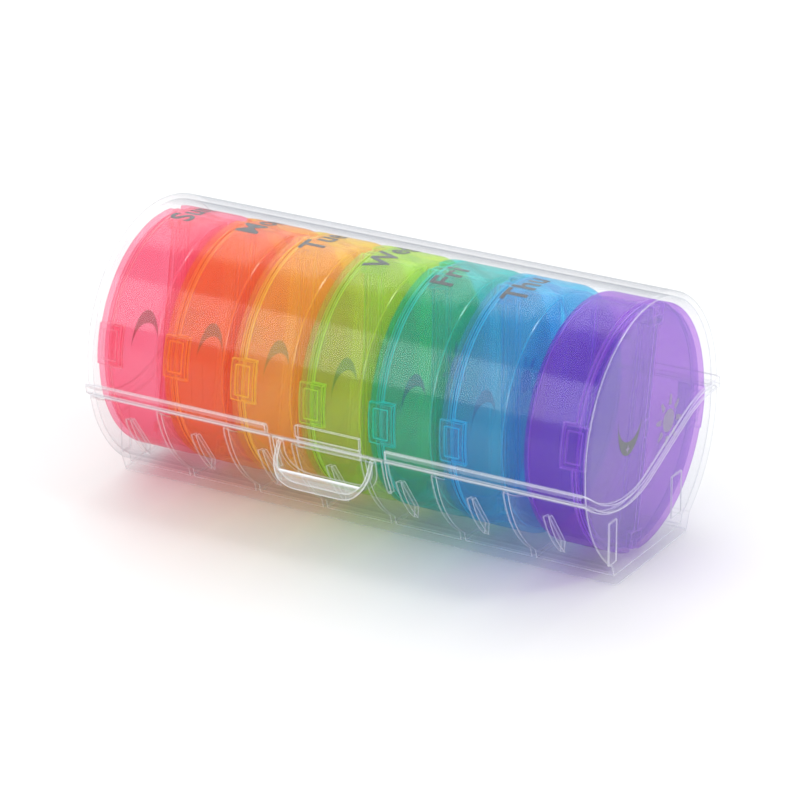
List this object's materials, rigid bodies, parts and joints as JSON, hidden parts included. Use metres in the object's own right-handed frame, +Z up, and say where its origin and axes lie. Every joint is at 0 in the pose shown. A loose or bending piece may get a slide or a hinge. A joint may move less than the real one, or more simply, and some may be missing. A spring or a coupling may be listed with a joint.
{
  "type": "travel pill organizer",
  "caption": "Clear hinged travel case holding a row of round tinted day pods, each with a morning and a night chamber under half-round flaps.",
  "frame": {"origin": "middle of the flat bottom", "axes": "+X along the row of pods, -Y towards the latch side, +Y towards the hinge, +Z up"},
  "size_m": [0.156, 0.0836, 0.073],
  "materials": {
    "clear_shell": "clear polished polystyrene",
    "pink_cup": "translucent tinted polypropylene",
    "pink_flap": "translucent tinted polypropylene",
    "orange_cup": "translucent tinted polypropylene",
    "orange_flap": "translucent tinted polypropylene",
    "amber_cup": "translucent tinted polypropylene",
    "amber_flap": "translucent tinted polypropylene",
    "lime_cup": "translucent tinted polypropylene",
    "lime_flap": "translucent tinted polypropylene",
    "teal_cup": "translucent tinted polypropylene",
    "teal_flap": "translucent tinted polypropylene",
    "blue_cup": "translucent tinted polypropylene",
    "blue_flap": "translucent tinted polypropylene",
    "purple_cup": "translucent tinted polypropylene",
    "purple_flap": "translucent tinted polypropylene"
  },
  "bodies": {
    "base": {"case_base": "clear_shell"},
    "lid": {"case_lid": "clear_shell"},
    "pod_sun": {"pod_body_sun": "pink_cup", "pm_lid_sun": "pink_flap", "am_lid_sun": "pink_flap"},
    "pod_mon": {"pod_body_mon": "orange_cup", "pm_lid_mon": "orange_flap", "am_lid_mon": "orange_flap"},
    "pod_tue": {"pod_body_tue": "amber_cup", "pm_lid_tue": "amber_flap", "am_lid_tue": "amber_flap"},
    "pod_wed": {"pod_body_wed": "lime_cup", "pm_lid_wed": "lime_flap", "am_lid_wed": "lime_flap"},
    "pod_fri": {"pod_body_fri": "teal_cup", "pm_lid_fri": "teal_flap", "am_lid_fri": "teal_flap"},
    "pod_thu": {"pod_body_thu": "blue_cup", "pm_lid_thu": "blue_flap", "am_lid_thu": "blue_flap"},
    "pod_sat": {"pod_body_sat": "purple_cup", "pm_lid_sat": "purple_flap", "am_lid_sat": "purple_flap"}
  },
  "joints": [
    {"name": "case_lid_hinge", "type": "hinge", "parent": "base", "child": "lid", "pos_m": [0, 0.0396, 0.0361], "axis": [-1, 0, 0], "range_deg": [0, 115]},
    {"name": "pod_sun_spin", "type": "hinge", "parent": "base", "child": "pod_sun", "pos_m": [-0.06565, 0, 0.0363], "axis": [-1, 0, 0], "continuous": true},
    {"name": "pod_mon_spin", "type": "hinge", "parent": "base", "child": "pod_mon", "pos_m": [-0.0444, 0, 0.0363], "axis": [-1, 0, 0], "continuous": true},
    {"name": "pod_tue_spin", "type": "hinge", "parent": "base", "child": "pod_tue", "pos_m": [-0.023, 0, 0.0363], "axis": [-1, 0, 0], "continuous": true},
    {"name": "pod_wed_spin", "type": "hinge", "parent": "base", "child": "pod_wed", "pos_m": [-0.0016, 0, 0.0363], "axis": [-1, 0, 0], "continuous": true},
    {"name": "pod_fri_spin", "type": "hinge", "parent": "base", "child": "pod_fri", "pos_m": [0.0198, 0, 0.0363], "axis": [-1, 0, 0], "continuous": true},
    {"name": "pod_thu_spin", "type": "hinge", "parent": "base", "child": "pod_thu", "pos_m": [0.0412, 0, 0.0363], "axis": [-1, 0, 0], "continuous": true},
    {"name": "pod_sat_spin", "type": "hinge", "parent": "base", "child": "pod_sat", "pos_m": [0.065, 0, 0.0363], "axis": [-1, 0, 0], "continuous": true}
  ]
}
